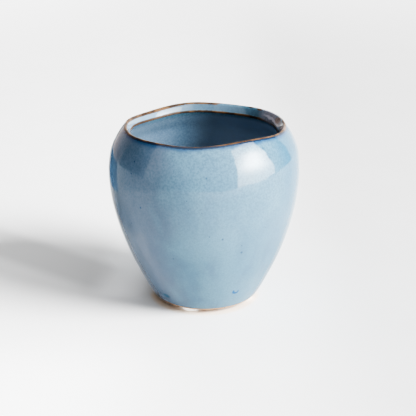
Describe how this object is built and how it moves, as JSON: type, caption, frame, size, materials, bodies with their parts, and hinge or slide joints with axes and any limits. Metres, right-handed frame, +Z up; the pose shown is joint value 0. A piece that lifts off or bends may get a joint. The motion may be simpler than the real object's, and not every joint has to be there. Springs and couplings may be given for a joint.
{
  "type": "shaving mug",
  "caption": "Handle-less stoneware shaving mug with a wide belly, leaning shoulder, wavy rim, blue glaze and clear bumpers under a bare clay foot.",
  "frame": {"origin": "on the shelf plane under the centre of the mug, the bottom centre of its bounding box", "axes": "+Z up out of the mouth, -Y the front that the viewer faces, +X the viewer's right"},
  "size_m": [0.0898, 0.0898, 0.0875],
  "materials": {
    "bare_clay": "unglazed, dry and slightly grainy",
    "blue_glaze": "glossy, mottled, breaking brown on the rim's edges",
    "clear_bumper": "clear, glossy, slightly milky",
    "adhesive": "clear acrylic adhesive film"
  },
  "bodies": {
    "root": {"stoneware_body": "bare_clay", "glaze_coat": "blue_glaze", "bumper_front": "clear_bumper", "bumper_right": "clear_bumper", "bumper_back": "clear_bumper", "bumper_left": "clear_bumper", "adhesive_disc_front": "adhesive", "adhesive_disc_right": "adhesive", "adhesive_disc_back": "adhesive", "adhesive_disc_left": "adhesive"}
  },
  "joints": []
}
